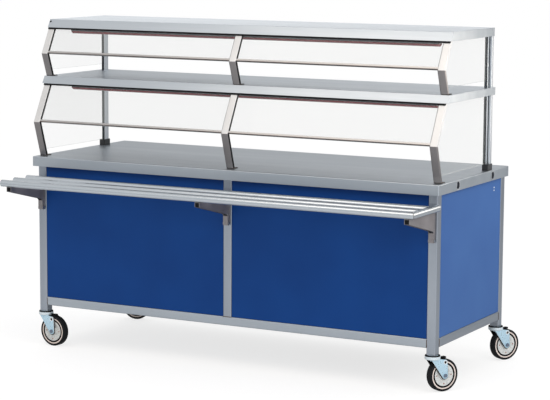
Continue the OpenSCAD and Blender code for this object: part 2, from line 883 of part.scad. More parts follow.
module slide_brackets() {
    hollow_w = bracket_w - 2 * bracket_t;
    color(dark_steel) on_plan()
        for (x = brackets_x)
            difference() {
                along_x(x - bracket_w / 2, bracket_w) bracket_side();
                along_x(x - hollow_w / 2, hollow_w) bracket_hollow();
                translate([x - bracket_w, pin_y, pin_h])
                    rotate([0, 90, 0]) cylinder(r = pin_r + run_fit, h = 2 * bracket_w);
            }
}

// A lug on each leg carries the pin between the bracket's cheeks
module hinge_lugs() {
    color(dark_steel) on_plan()
        for (x = brackets_x)
            along_x(x - lug_w / 2, lug_w)
                difference() {
                    union() {
                        translate([pin_y, pin_h]) circle(lug_r);
                        translate([pin_y, pin_h - lug_r]) square([frame_front - pin_y, 2 * lug_r]);
                    }
                    translate([pin_y, pin_h]) circle(pin_r + run_fit);
                }
}

module hinge_pins() {
    pin_l = bracket_w + 2 * side_gap;
    head_t = 2;
    color(steel) on_plan()
        for (x = brackets_x)
            translate([x, pin_y, pin_h])
                rotate([0, 90, 0]) {
                    cylinder(r = pin_r, h = pin_l, center = true);
                    for (s = sides)
                        translate([0, 0, s * (pin_l + head_t) / 2])
                            cylinder(r = pin_r + 2, h = head_t, center = true);
                }
}

// Places a caster's children with the swivel axis on Z and the wheel behind it along its heading
module at_caster(i) {
    on_plan()
        translate([casters[i][0], casters[i][1], 0])
            rotate([0, 0, casters[i][2]]) children();
}

// Places a wheel's children with the axle on Z
module at_axle(i) {
    at_caster(i) translate([trail, 0, wheel_r]) rotate([90, 0, 0]) children();
}

// Plugs in the legs, each with a collar and the kingpin that the fork turns on
module caster_stems() {
    plug_r = leg_w / 2 - leg_wall - seat_gap;
    king_bottom = crown_bottom - seat_gap - king_nut_h;
    color(zinc)
        for (i = [0:3])
            at_caster(i) {
                translate([0, 0, leg_bottom]) cylinder(r = plug_r, h = 2 * leg_w);
                translate([0, 0, leg_bottom - ring_t]) cylinder(r = collar_r, h = ring_t);
                translate([0, 0, king_bottom]) cylinder(r = king_r, h = leg_bottom - king_bottom);
                translate([0, 0, king_bottom]) cylinder(r = king_nut_r, h = king_nut_h, $fn = 6);
            }
}

module dust_rings() {
    color(black)
        for (i = [0:3])
            at_caster(i)
                translate([0, 0, leg_bottom - ring_t])
                    difference() {
                        cylinder(r = crown_r - 1, h = ring_t);
                        translate([0, 0, -ring_t]) cylinder(r = collar_r + seat_gap, h = 3 * ring_t);
                    }
}

// Where the straight front edge of a fork plate, from point p, touches the round foot
function touch(p, c, r) = let (v = p - c, a = atan2(v[1], v[0]) + acos(r / norm(v)))
    c + r * [cos(a), sin(a)];

// One fork plate seen from the side, with its eye and axle hole
module fork_side() {
    axle = [trail, wheel_r];
    eye = [trail, eye_h];
    lobe = eye_r + 6;
    nose = [-crown_r * 0.6, crown_bottom + 2];
    difference() {
        union() {
            polygon([nose, [crown_r * 0.6, crown_bottom + 2], eye + [0, lobe], eye + [lobe, 0],
                axle + [foot_r, 0], axle, touch(nose, axle, foot_r)]);
            translate(axle) circle(foot_r);
            translate(eye) circle(lobe);
        }
        translate(axle) circle(axle_r + run_fit);
        translate(eye) circle(eye_r);
    }
}

// The swivel cup: a shallow bowl over the fork plates
module crown() {
    rotate_extrude()
        difference() {
            union() {
                square([crown_r - 4, crown_h]);
                translate([0, 4]) square([crown_r, crown_h - 4]);
                translate([crown_r - 4, 4]) circle(4);
            }
            square([king_r + run_fit, crown_h]);
        }
}

module fork(i) {
    color(zinc)
        at_caster(i) {
            translate([0, 0, crown_bottom]) crown();
            for (s = sides)
                mirror([0, s < 0 ? 1 : 0, 0]) {
                    along_y(fork_in, fork_t) fork_side();
                    along_y(fork_in + fork_t, 1)
                        translate([trail, eye_h]) difference() {
                            circle(eye_r + 4.5);
                            circle(eye_r);
                        }
                }
        }
}

module fork_front_left() fork(0);
module fork_front_right() fork(1);
module fork_rear_left() fork(2);
module fork_rear_right() fork(3);

// A bolt through the fork with a hexagon at each end
module axle(i) {
    l = 2 * (fork_in + fork_t);
    hex_h = 5;
    color(steel)
        at_axle(i) {
            cylinder(r = axle_r, h = l, center = true);
            for (s = sides)
                translate([0, 0, s * (l + hex_h) / 2])
                    cylinder(r = axle_r + 2, h = hex_h, center = true, $fn = 6);
        }
}

module axle_front_left() axle(0);
module axle_front_right() axle(1);
module axle_rear_left() axle(2);
module axle_rear_right() axle(3);

// Half of the wheel body's section: a sleeve, a pressed disc, a dark groove and the rim
module hub_section() {
    sleeve = fork_in - seat_gap;
    disc = tread_w / 2 - 4;
    polygon([
        [axle_r + run_fit, -sleeve], [axle_r + 6, -sleeve],
        [axle_r + 8, -disc + 3], [rim_r * 0.42, -disc + 2],
        [rim_r * 0.5, -disc], [rim_r * 0.77, -disc], [rim_r * 0.8, -disc + 5], [rim_r * 0.88, -disc + 5],
        [rim_r * 0.9, -disc - 1], [rim_r, -disc - 1],
        [rim_r, disc + 1], [rim_r * 0.9, disc + 1],
        [rim_r * 0.88, disc - 5], [rim_r * 0.8, disc - 5], [rim_r * 0.77, disc], [rim_r * 0.5, disc],
        [rim_r * 0.42, disc - 2], [axle_r + 8, disc - 3], [axle_r + 6, sleeve], [axle_r + run_fit, sleeve],
    ]);
}

module hub(i) {
    disc = tread_w / 2 - 4;
    color("#D3D3CE")
        at_axle(i) {
            rotate_extrude($fn = 72) hub_section();
            for (a = [0:90:270])
                rotate([0, 0, a])
                    translate([rim_r * 0.62, 0, 0]) cylinder(r = 3, h = 2 * disc + 1.6, center = true);
        }
}

module hub_front_left() hub(0);
module hub_front_right() hub(1);
module hub_rear_left() hub(2);
module hub_rear_right() hub(3);

module tyre(i) {
    r0 = rim_r + seat_gap;
    color(black)
        at_axle(i)
            rotate_extrude($fn = 72)
                intersection() {
                    round_rect(2 * wheel_r, tread_w, tread_r);
                    translate([r0, -tread_w / 2]) square([wheel_r - r0, tread_w]);
                }
}

module tyre_front_left() tyre(0);
module tyre_front_right() tyre(1);
module tyre_rear_left() tyre(2);
module tyre_rear_right() tyre(3);

counter_top();
link_cups();
leg_front_left();
leg_front_right();
leg_rear_left();
leg_rear_right();
centre_post();
front_rail();
rear_rail();
end_rails();
top_rails();
front_panel_left();
front_panel_right();
end_panel_left();
end_panel_right();
undershelf();
panel_rivets();
lower_posts();
upper_posts();
rear_posts();
post_feet();
post_shoes();
middle_shelf();
top_shelf();
shelf_trims();
lower_front_glass();
upper_front_glass();
lower_end_glass();
upper_end_glass();
knee_rails();
glass_channels();
channel_screws();
lamp_housings();
lamp_lenses();
slide_front_bar();
slide_middle_bar();
slide_rear_bar();
slide_end_bar();
bar_end_caps();
slide_brackets();
hinge_lugs();
hinge_pins();
caster_stems();
dust_rings();
fork_front_left();
fork_front_right();
fork_rear_left();
fork_rear_right();
axle_front_left();
axle_front_right();
axle_rear_left();
axle_rear_right();
hub_front_left();
hub_front_right();
hub_rear_left();
hub_rear_right();
tyre_front_left();
tyre_front_right();
tyre_rear_left();
tyre_rear_right();
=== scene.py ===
"""Looks of the mobile serving counter: finishes for its solids, and the details made over them."""

import json
import math
from collections import namedtuple

import bpy
from mathutils import Matrix, Vector

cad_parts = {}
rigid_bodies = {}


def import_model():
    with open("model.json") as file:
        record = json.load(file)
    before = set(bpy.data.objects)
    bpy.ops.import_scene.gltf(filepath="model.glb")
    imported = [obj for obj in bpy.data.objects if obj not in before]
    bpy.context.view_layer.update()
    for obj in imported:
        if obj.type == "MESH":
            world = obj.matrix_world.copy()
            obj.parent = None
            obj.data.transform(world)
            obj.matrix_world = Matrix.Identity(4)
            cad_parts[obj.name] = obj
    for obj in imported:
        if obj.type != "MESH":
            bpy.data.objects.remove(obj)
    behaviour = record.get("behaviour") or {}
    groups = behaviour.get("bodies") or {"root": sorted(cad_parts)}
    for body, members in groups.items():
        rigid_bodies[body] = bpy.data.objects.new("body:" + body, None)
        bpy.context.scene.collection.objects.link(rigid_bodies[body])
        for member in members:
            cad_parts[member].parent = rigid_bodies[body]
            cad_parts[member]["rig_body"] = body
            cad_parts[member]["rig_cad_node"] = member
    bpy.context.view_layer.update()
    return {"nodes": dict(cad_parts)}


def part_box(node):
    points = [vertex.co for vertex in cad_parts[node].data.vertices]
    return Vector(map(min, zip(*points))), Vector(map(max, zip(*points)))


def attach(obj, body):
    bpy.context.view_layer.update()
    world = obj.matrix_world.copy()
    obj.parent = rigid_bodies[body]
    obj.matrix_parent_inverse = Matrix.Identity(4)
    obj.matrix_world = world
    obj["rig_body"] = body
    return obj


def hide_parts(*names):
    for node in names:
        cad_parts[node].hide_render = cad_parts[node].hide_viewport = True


MM = 0.001
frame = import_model()
nodes = frame["nodes"]

# The counter's own axes: X from its middle, Y back from its front edge, Z up from the floor, in mm
COUNTER_LOW, COUNTER_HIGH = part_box("counter_top")
PLAN_X = (COUNTER_LOW.x + COUNTER_HIGH.x) / 2
PLAN_Y = COUNTER_LOW.y
HALF_L = (COUNTER_HIGH.x - COUNTER_LOW.x) / 2 / MM
TOP = COUNTER_HIGH.z / MM
# Frame: middles and width of the legs, front and rear faces, edges of the lower rails
LEG_X = 907
LEG_W = 38
FRAME_FRONT = 24
FRAME_REAR = 718
RAIL_TOP = 212
RAIL_BOTTOM = 176
# Middles of the link cups, and the nearest and farthest reach of their bores' walls
CUPS_Y = (186, 545)
CUP_WALL = (12, 15)
# Shelves: upper faces, thickness of the sheet, lean of the front edges, left end of the top one
MID_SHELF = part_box("middle_shelf")[1].z / MM
TOP_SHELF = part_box("top_shelf")[1].z / MM
SHEET = 1.5
FLARE = math.radians(30)
TOP_SHELF_END = -933
# Display posts: middles of the outer ones, width, depth, foot plates, lean above the knee, knees
POST_X = 915
POST_W = 30
POST_D = 12.7
FOOT_T = 3
BACK_LEAN = 27.7
BACK_SLOPE = math.tan(math.radians(BACK_LEAN))
LOWER_KNEE_Y = -4
LOWER_KNEE_H = 147
UPPER_KNEE_H = 97
UPPER_KNEE_REACH = 36
UPPER_KNEE_Y = LOWER_KNEE_Y + (MID_SHELF - SHEET - TOP - LOWER_KNEE_H) * BACK_SLOPE - UPPER_KNEE_REACH
# Floor, knee, roof and lean below the knee of each tier
Tier = namedtuple("Tier", "floor knee_z knee_y roof lean")
TIERS = {
    "lower": Tier(TOP, TOP + LOWER_KNEE_H, LOWER_KNEE_Y, MID_SHELF - SHEET, 18),
    "upper": Tier(MID_SHELF, MID_SHELF + UPPER_KNEE_H, UPPER_KNEE_Y, TOP_SHELF - SHEET, 20.5),
}
KNEE_RAIL_LIFT = 4
SHOE_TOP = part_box("post_shoes")[1].z / MM
CHANNEL_FRONT, CHANNEL_BACK = ((corner.y - PLAN_Y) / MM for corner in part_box("glass_channels"))
# Lamps: middle, ends, height of the housing
LAMP_Y = 192
LAMP_END = HALF_L - 90
LAMP_H = 49
# Tray slide: radius and middles of its tubes, upper edge of its brackets, axis of its pins
BAR_R = 14.3
BARS_Y = (-36, -127, -218)
SLIDE_TOP = 714
PIN = (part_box("hinge_pins")[0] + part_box("hinge_pins")[1]) / 2
PIN_Y = (PIN.y - PLAN_Y) / MM
PIN_Z = PIN.z / MM
# Place of each caster's swivel and its heading in degrees
Caster = namedtuple("Caster", "x y heading")
CASTERS = {
    "front_left": Caster(-LEG_X, FRAME_FRONT + LEG_W / 2, -5),
    "front_right": Caster(LEG_X, FRAME_FRONT + LEG_W / 2, 58),
    "rear_left": Caster(-LEG_X, FRAME_REAR - LEG_W / 2, 12),
    "rear_right": Caster(LEG_X, FRAME_REAR - LEG_W / 2, 58),
}
WHEEL_R = 65
TREAD_W = 32
RIM_R = 56
TRAIL = 46
# Fork: height of its eyes, top of its plates, foot of its cup, reach just beyond the plates' outer faces
EYE_Z = 118
PLATE_TOP = 128
CUP_FOOT = 131
PLATE_FACE = 22.1
# Turns a round from Z to Y
ALONG_Y = Matrix.Rotation(math.radians(90), 4, "X")


def at(x, y, z):
    """A point in the counter's own axes, in the row frame."""
    return Vector((PLAN_X + x * MM, PLAN_Y + y * MM, z * MM))


def linear(hex_colour):
    """The linear colour of an sRGB hex colour."""
    channels = [int(hex_colour[i : i + 2], 16) / 255 for i in (1, 3, 5)]
    return tuple(c / 12.92 if c <= 0.04045 else ((c + 0.055) / 1.055) ** 2.4 for c in channels) + (1.0,)


# Finishes

# The middle span of a noise, which a range node stretches
NOISE_SPAN = {"From Min": 0.3, "From Max": 0.7}


def set_sockets(owner, node, values):
    """Sets or links a node's sockets, each picked by its name or number."""
    for key, value in values.items():
        if isinstance(value, bpy.types.NodeSocket):
            owner.node_tree.links.new(value, node.inputs[key])
        else:
            node.inputs[key].default_value = value


def add_node(owner, kind, values, **settings):
    """A node of a material or world, with its settings made and its sockets set or linked."""
    node = owner.node_tree.nodes.new(kind)
    for name, value in settings.items():
        setattr(node, name, value)
    set_sockets(owner, node, values)
    return node


def new_material(name):
    """A material and its shader."""
    material = bpy.data.materials.new(name)
    material.use_nodes = True
    return material, material.node_tree.nodes["Principled BSDF"]


def grain(material, size_mm, detail=3.0):
    """Noise whose lumps have a size in mm along X, Y and Z."""
    place = add_node(material, "ShaderNodeTexCoord", {}).outputs["Object"]
    scale = tuple(1 / (s * MM) for s in size_mm)
    scaled = add_node(material, "ShaderNodeMapping", {"Vector": place, "Scale": scale}).outputs["Vector"]
    noise = add_node(material, "ShaderNodeTexNoise", {"Vector": scaled, "Scale": 1.0, "Detail": detail})
    return noise.outputs["Fac"]


def clouded(material, size_mm, dark, pale, detail=2.0):
    """A colour that runs from dark to pale in lumps of a size in mm."""
    noise = grain(material, size_mm, detail)
    share = add_node(material, "ShaderNodeMapRange", {"Value": noise, **NOISE_SPAN}).outputs["Result"]
    ends = {"A": linear(dark), "B": linear(pale)}
    return add_node(material, "ShaderNodeMix", {"Factor": share, **ends}, data_type="RGBA").outputs["Result"]


def brushed_steel(name, dark, pale, grain_mm, roughness, metallic=1.0, depth=0.06):
    """Steel brushed along the long side of its grain; less metallic where its surface is dull."""
    material, shader = new_material(name)
    brush = grain(material, grain_mm)
    gloss = {"To Min": roughness - 0.05, "To Max": roughness + 0.06}
    sheen = add_node(material, "ShaderNodeMapRange", {"Value": brush, **NOISE_SPAN, **gloss})
    bump = add_node(material, "ShaderNodeBump", {"Height": brush, "Strength": depth, "Distance": 0.00004})
    set_sockets(material, shader, {
        "Base Color": clouded(material, tuple(60 + 8 * size for size in grain_mm), dark, pale),
        "Roughness": sheen.outputs["Result"],
        "Normal": bump.outputs["Normal"],
        "Metallic": metallic,
    })
    return material


def powder_coat(name, dark, pale):
    """Baked powder paint with a faint orange peel."""
    material, shader = new_material(name)
    peel = grain(material, (1.6, 1.6, 1.6), detail=1.0)
    bump = add_node(material, "ShaderNodeBump", {"Height": peel, "Strength": 0.05, "Distance": 0.0001})
    set_sockets(material, shader, {
        "Base Color": clouded(material, (300, 300, 300), dark, pale),
        "Roughness": 0.5,
        "Specular IOR Level": 0.12,
        "Normal": bump.outputs["Normal"],
    })
    return material


def plain(name, colour, roughness, metallic=0.0, gloss=0.5):
    """A finish of one colour with a faint mottle in its gloss."""
    material, shader = new_material(name)
    mottle = grain(material, (6, 6, 6), detail=2.0)
    ends = {"To Min": roughness - 0.04, "To Max": roughness + 0.04}
    sheen = add_node(material, "ShaderNodeMapRange", {"Value": mottle, **NOISE_SPAN, **ends})
    set_sockets(material, shader, {
        "Base Color": linear(colour),
        "Roughness": sheen.outputs["Result"],
        "Metallic": metallic,
        "Specular IOR Level": gloss,
    })
    return material


def mottled(name, dark, pale, lump_mm, roughness):
    """A dull finish whose colour runs from dark to pale in small lumps."""
    material, shader = new_material(name)
    colour = clouded(material, (lump_mm,) * 3, dark, pale, detail=3.0)
    set_sockets(material, shader, {"Base Color": colour, "Roughness": roughness})
    return material


def clear_glass(name, colour, alpha):
    """Float glass, seen as a faint film."""
    material, shader = new_material(name)
    set_sockets(material, shader, {"Base Color": linear(colour), "Roughness": 0.03, "Alpha": alpha})
    return material


# Brushed stainless sheet: counter top, shelves and rails, brushed along X
sheet_steel = brushed_steel("stainless_sheet", "#AEB6BE", "#B8BFC6", (90, 0.9, 0.9), 0.36)
# Brushed stainless tube that stands upright, brushed along Z
upright_steel = brushed_steel("stainless_upright", "#9AA1AB", "#A8AFB8", (0.9, 0.9, 90), 0.34)
# Rails from front to back, brushed along Y
cross_steel = brushed_steel("stainless_cross_rail", "#969DA6", "#A8AFB7", (0.9, 90, 0.9), 0.36)
# Dull insides of the link cups
cup_steel = brushed_steel("stainless_link_cup", "#A2A7AD", "#B2B7BC", (3, 3, 3), 0.45, 0.6)
# Polished tube of the tray slide
slide_steel = brushed_steel("stainless_slide_tube", "#BCC3C9", "#C4CAD0", (400, 3, 3), 0.22, depth=0.01)
# Mitred display posts in satin stainless
post_steel = brushed_steel("stainless_post", "#C9C9CA", "#D5D5D5", (0.8, 0.8, 60), 0.4, 0.45)
# Their lower lengths, darker than the upper ones: a shaded copy of the post steel, painted shade
post_shade = brushed_steel("stainless_post_painted_shade", "#827F80", "#8E8B8B", (0.8, 0.8, 60), 0.34)
# Folded brackets in a darker mill finish
bracket_steel = brushed_steel("mill_finish_steel", "#827E80", "#908C8E", (2, 2, 2), 0.5, 0.65)
# Foot plates under the display posts, painted near black as the shadow line at the posts' feet
foot_plate_shadow = brushed_steel("foot_plate_painted_shadow", "#35312F", "#45403D", (2, 2, 2), 0.5, 0.4)
# Rear posts and glass channels, brushed along Z
rear_steel = brushed_steel("stainless_rear_post", "#C6CCD2", "#D6DBE0", (0.9, 0.9, 90), 0.34)
# Satin rails under the front glass, and a darker copy for the hems along their lower edges: painted shade
rail_steel = brushed_steel("stainless_knee_rail", "#A9A8A8", "#B8B7B6", (60, 1, 1), 0.36)
rail_shade = brushed_steel("knee_rail_painted_shade", "#6B5F59", "#7A6D66", (60, 1, 1), 0.5, 0.5)
# Weld metal with its heat tint
weld_metal = brushed_steel("heat_tinted_weld", "#5E5450", "#8A7D74", (3, 3, 3), 0.42)
# Royal blue powder coat of the front panels
front_blue = powder_coat("royal_blue_powder_coat", "#0A3877", "#0D3E80")
# Lighter blue powder coat of the end panels
end_blue = powder_coat("light_blue_powder_coat", "#355A94", "#3B619A")
# Float glass of the sneeze guards
guard_glass = clear_glass("float_glass", "#B8BCBC", 0.11)
# The panes at the left end, a clearer copy of the float glass: painted light, as their film hardly shows
# against the light
far_glass_painted_light = clear_glass("far_float_glass", "#C4C8C8", 0.05)
# Ground edges of all panes, which catch the light: their frosted pale colour with a painted highlight
glass_edge_highlight = clear_glass("ground_glass_edge_and_highlight", "#E9F1EE", 0.85)
# Grey enamel of the lamp housings
lamp_grey = plain("grey_enamel", "#6E7176", 0.4)
# Red-brown acrylic lens
lens_red = plain("red_brown_acrylic", "#86182A", 0.35, gloss=0.15)
# Black rubber trim and dust rings; the same black is painted shade in the strips beside the posts and glass
# channels, on the shelf's relief hole and in the brackets' open noses
black_rubber_and_shade = plain("black_rubber_and_painted_shade", "#121315", 0.6, gloss=0.12)
# Black plates beside the wheels: painted shade in the gap between fork and wheel
gap_shade_black = plain("fork_gap_painted_shade", "#0E0F11", 0.7, gloss=0.1)
# Black cast shoes
shoe_black = plain("black_enamel", "#25262A", 0.4)
# Bright bluish zinc plating
zinc = plain("bluish_zinc_plating", "#C2E0F0", 0.3, 0.6)
# The swivel cup's zinc plating, painted paler as a highlight
cup_zinc_highlight = plain("zinc_plating_painted_highlight", "#DCE8EF", 0.3, 0.45)
# White plating of the panel rivets; on the forks the same white is a painted highlight on the plates' cut
# edges and round their eyes
white_plating_and_highlight = plain("white_plating_and_painted_highlight", "#EEF2F4", 0.3, 0.2)
# Grey axle nuts and washers
nut_steel = plain("grey_axle_nut", "#7C8797", 0.35, 0.8)
# Grey mottled wheel body
hub_white = mottled("mottled_grey_nylon", "#AEB2B3", "#DADCD9", 5, 0.4)
# Black groove of the wheel
groove_dark = plain("dark_wheel_groove", "#121214", 0.6, gloss=0.12)
# Painted shade on the rear inner walls of the link cups, dark grey
cup_wall_shade = plain("link_cup_painted_shade", "#43464C", 0.6, gloss=0.12)
# Pinkish rim of the wheel, painted pale as a highlight
rim_highlight = plain("wheel_rim_painted_highlight", "#E6D8D0", 0.4)
# Red-brown rivets in the wheel body
rivet_brown = plain("oxide_rivet", "#9A5A4C", 0.5)
# Black tyre rubber
tyre_rubber = plain("tyre_rubber", "#131518", 0.62, gloss=0.2)


# Modelling tools


def deselect():
    """Leaves edit mode with nothing selected."""
    if bpy.context.object and bpy.context.object.mode != "OBJECT":
        bpy.ops.object.mode_set(mode="OBJECT")
    for piece in bpy.context.selected_objects:
        piece.select_set(False)


def activate(piece):
    """Selects one piece alone."""
    deselect()
    piece.select_set(True)
    bpy.context.view_layer.objects.active = piece


def place(piece, matrix):
    """Moves a piece's mesh, so that the object itself stays at the origin."""
    activate(piece)
    bpy.ops.object.transform_apply(location=True, rotation=True, scale=True)
    piece.data.transform(matrix)
    if matrix.determinant() < 0:
        piece.data.flip_normals()


def paint(piece, *materials):
    """Gives a piece its materials, the first of them all over."""
    piece.data.materials.clear()
    for material in materials:
        piece.data.materials.append(material)


def level_normals(piece):
    """Smooths the rounded edges and keeps the faces between them flat."""
    activate(piece)
    bpy.ops.object.shade_smooth_by_angle(angle=math.radians(35))
    normals = piece.modifiers.new("level_faces", "WEIGHTED_NORMAL")
    normals.keep_sharp = True
    bpy.ops.object.modifier_apply(modifier=normals.name)


def soften(piece, width_mm, segments=2, angle=32):
    """Rounds the sharp edges and smooths the rest."""
    activate(piece)
    edge = piece.modifiers.new("soft_edge", "BEVEL")
    edge.width = width_mm * MM
    edge.segments = segments
    edge.limit_method = "ANGLE"
    edge.angle_limit = math.radians(angle)
    bpy.ops.object.modifier_apply(modifier=edge.name)
    level_normals(piece)


def fit(piece, name, body, slot, *replaced):
    """Names a finished piece and fixes it to its body."""
    piece.name = name
    piece.data.name = name
    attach(piece, body)
    if replaced:
        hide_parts(*replaced)
    return piece


def rounded_copy(node, name, body, slot, material, width_mm):
    """A stand-in for a solid, with its edges broken as on the real piece."""
    source = nodes[node]
    piece = source.copy()
    piece.data = source.data.copy()
    piece.parent = None
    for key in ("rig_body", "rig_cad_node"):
        del piece[key]
    bpy.context.scene.collection.objects.link(piece)
    activate(piece)
    bpy.ops.object.mode_set(mode="EDIT")
    bpy.ops.mesh.select_all(action="SELECT")
    bpy.ops.mesh.remove_doubles(threshold=0.00002)
    bpy.ops.mesh.dissolve_limited(angle_limit=math.radians(0.5))
    bpy.ops.object.mode_set(mode="OBJECT")
    paint(piece, material)
    soften(piece, width_mm)
    return fit(piece, name, body, slot, node)


def copies(piece, matrices):
    """Copies of a piece, each with its own mesh, at each of the places."""
    made = []
    for matrix in matrices:
        other = piece.copy()
        other.data = piece.data.copy()
        bpy.context.scene.collection.objects.link(other)
        other.data.transform(matrix)
        made.append(other)
    bpy.data.objects.remove(piece)
    return made


def joined(pieces):
    """One object made of several."""
    deselect()
    for piece in pieces:
        piece.select_set(True)
    bpy.context.view_layer.objects.active = pieces[0]
    if len(pieces) > 1:
        bpy.ops.object.join()
    return pieces[0]


def select_faces(piece, wanted):
    """Goes into edit mode with the faces selected that wanted(centre, normal) picks."""
    activate(piece)
    bpy.ops.object.mode_set(mode="EDIT")
    bpy.ops.mesh.select_mode(type="FACE")
    bpy.ops.mesh.select_all(action="DESELECT")
    bpy.ops.object.mode_set(mode="OBJECT")
    for face in piece.data.polygons:
        face.select = wanted(face.center, face.normal)
    bpy.ops.object.mode_set(mode="EDIT")


def plain_block(centre, size, width_mm=0.5):
    """A block about a point, in mm, with broken edges, to be placed afterwards."""
    deselect()
    bpy.ops.mesh.primitive_cube_add(
        size=1, location=tuple(c * MM for c in centre), scale=tuple(d * MM for d in size)
    )
    piece = bpy.context.object
    place(piece, Matrix.Identity(4))
    soften(piece, width_mm)
    return piece


def plain_round(radius, length, sides):
    """A round along Z about the origin, in mm, to be shaped and placed afterwards."""
    deselect()
    bpy.ops.mesh.primitive_cylinder_add(vertices=sides, radius=radius * MM, depth=length * MM)
    return bpy.context.object


def disc(place_mm, way, radius, thick, edge=0.4):
    """A round with broken edges that stands on a point in mm, in the counter's own axes, facing way."""
    piece = plain_round(radius, thick, 32)
    soften(piece, edge)
    turn = Vector(way).to_track_quat("Z", "Y").to_matrix().to_4x4()
    place(piece, Matrix.Translation(at(*place_mm)) @ turn @ Matrix.Translation((0, 0, thick / 2 * MM)))
    return piece


def block(low, high, width_mm=0.5):
    """A block between two corners in mm, in the counter's own axes, with broken edges."""
    a, b = at(*low), at(*high)
    deselect()
    bpy.ops.mesh.primitive_cube_add(size=1, location=(a + b) / 2, scale=b - a)
    piece = bpy.context.object
    place(piece, Matrix.Identity(4))
    soften(piece, width_mm)
    return piece


# Camera, lights, floor


def make_camera():
    """Stands where the photographer stood."""
    data = bpy.data.cameras.new("photo_view")
    camera = bpy.data.objects.new("photo_view", data)
    bpy.context.scene.collection.objects.link(camera)
    turn, drop, roll = (math.radians(a) for a in (28.06, 7.89, 0.34))
    ahead = Vector((-math.sin(turn) * math.cos(drop), math.cos(turn) * math.cos(drop), -math.sin(drop)))
    level = Vector((math.cos(turn), math.sin(turn), 0))
    above = level.cross(ahead)
    right = level * math.cos(roll) + above * math.sin(roll)
    up = -level * math.sin(roll) + above * math.cos(roll)
    axes = Matrix((right, up, -ahead)).transposed().to_4x4()
    camera.matrix_world = Matrix.Translation(at(3906.1, -6893.8, 1796.1)) @ axes
    # Focal length and picture width in pixels, on a sensor of 36 mm
    data.sensor_width = 36
    data.lens = 1976.7 / 550 * 36
    data.clip_end = 400
    bpy.context.scene.camera = camera
    bpy.context.scene.view_settings.view_transform = "Standard"


def area_light(name, place_mm, aim_mm, size, power, colour="#FFFFFF"):
    """A softbox at one point that aims at another, its size in metres."""
    data = bpy.data.lights.new(name, "AREA")
    data.shape = "RECTANGLE"
    data.size, data.size_y = size
    data.energy = power
    data.color = linear(colour)[:3]
    lamp = bpy.data.objects.new(name, data)
    bpy.context.scene.collection.objects.link(lamp)
    start, end = at(*place_mm), at(*aim_mm)
    turn = (start - end).to_track_quat("Z", "Y").to_matrix().to_4x4()
    lamp.matrix_world = Matrix.Translation(start) @ turn
    lamp.visible_camera = False


def make_world():
    """A plain soft surround, white where it is seen; in mirrors bright in front and dimmer behind."""
    world = bpy.data.worlds.new("studio")
    bpy.context.scene.world = world
    world.use_nodes = True
    path = add_node(world, "ShaderNodeLightPath", {}).outputs
    direction = add_node(world, "ShaderNodeTexCoord", {}).outputs["Generated"]
    back = add_node(world, "ShaderNodeSeparateXYZ", {"Vector": direction}).outputs["Y"]
    mirrored = add_node(world, "ShaderNodeMapRange", {
        "Value": back, "From Min": -0.6, "From Max": 0.8, "To Min": 0.86, "To Max": 0.62,
    }).outputs["Result"]
    ambient = add_node(world, "ShaderNodeMix", {"Factor": path["Is Glossy Ray"], "A": 0.9, "B": mirrored})
    seen = add_node(world, "ShaderNodeMath", {
        0: path["Is Camera Ray"], 1: path["Is Transmission Ray"],
    }, operation="MAXIMUM")
    strength = add_node(world, "ShaderNodeMix", {
        "Factor": seen.outputs["Value"], "A": ambient.outputs["Result"], "B": 1.0,
    }).outputs["Result"]
    background = world.node_tree.nodes["Background"]
    set_sockets(world, background, {"Strength": strength, "Color": (1, 1, 1, 1)})


def make_floor():
    """A pale floor that looks white and keeps the counter's shadow."""
    deselect()
    bpy.ops.mesh.primitive_plane_add(size=240, location=(0, 0, 0))
    floor = bpy.context.object
    floor.name = "floor"
    material, shader = new_material("pale_floor")
    path = add_node(material, "ShaderNodeLightPath", {}).outputs
    # Its mirror image: darker behind the counter, paler to the right
    place = add_node(material, "ShaderNodeTexCoord", {}).outputs["Object"]
    axes = add_node(material, "ShaderNodeSeparateXYZ", {"Vector": place}).outputs
    depth = add_node(material, "ShaderNodeMapRange", {
        "Value": axes["Y"], "From Min": -0.8, "From Max": -0.4, "To Min": 1.0, "To Max": 0.62,
    }).outputs["Result"]
    across = add_node(material, "ShaderNodeMapRange", {
        "Value": axes["X"], "From Min": -5.0, "From Max": -1.2, "To Min": 0.58, "To Max": 1.0,
    }).outputs["Result"]
    shade = add_node(material, "ShaderNodeMath", {0: depth, 1: across}, operation="MULTIPLY")
    image = add_node(material, "ShaderNodeMix", {
        "Factor": shade.outputs["Value"], "A": linear("#6C6E72"), "B": linear("#E6E8EA"),
    }, data_type="RGBA").outputs["Result"]
    # Plain grey where it only lights the counter
    mirrored = add_node(material, "ShaderNodeMix", {
        "Factor": path["Is Glossy Ray"], "A": (0.8, 0.8, 0.8, 1), "B": image,
    }, data_type="RGBA").outputs["Result"]
    seen = add_node(material, "ShaderNodeMix", {
        "Factor": path["Is Camera Ray"], "A": mirrored, "B": (0.3, 0.3, 0.3, 1),
    }, data_type="RGBA").outputs["Result"]
    # Lifted to white where it is seen, apart from the shadow
    lift = add_node(material, "ShaderNodeMath", {0: path["Is Camera Ray"], 1: 0.73}, operation="MULTIPLY")
    set_sockets(material, shader, {
        "Base Color": seen,
        "Roughness": 1.0,
        "Specular IOR Level": 0.0,
        "Emission Color": (1, 1, 1, 1),
        "Emission Strength": lift.outputs["Value"],
    })
    paint(floor, material)


# Finishes of the solids


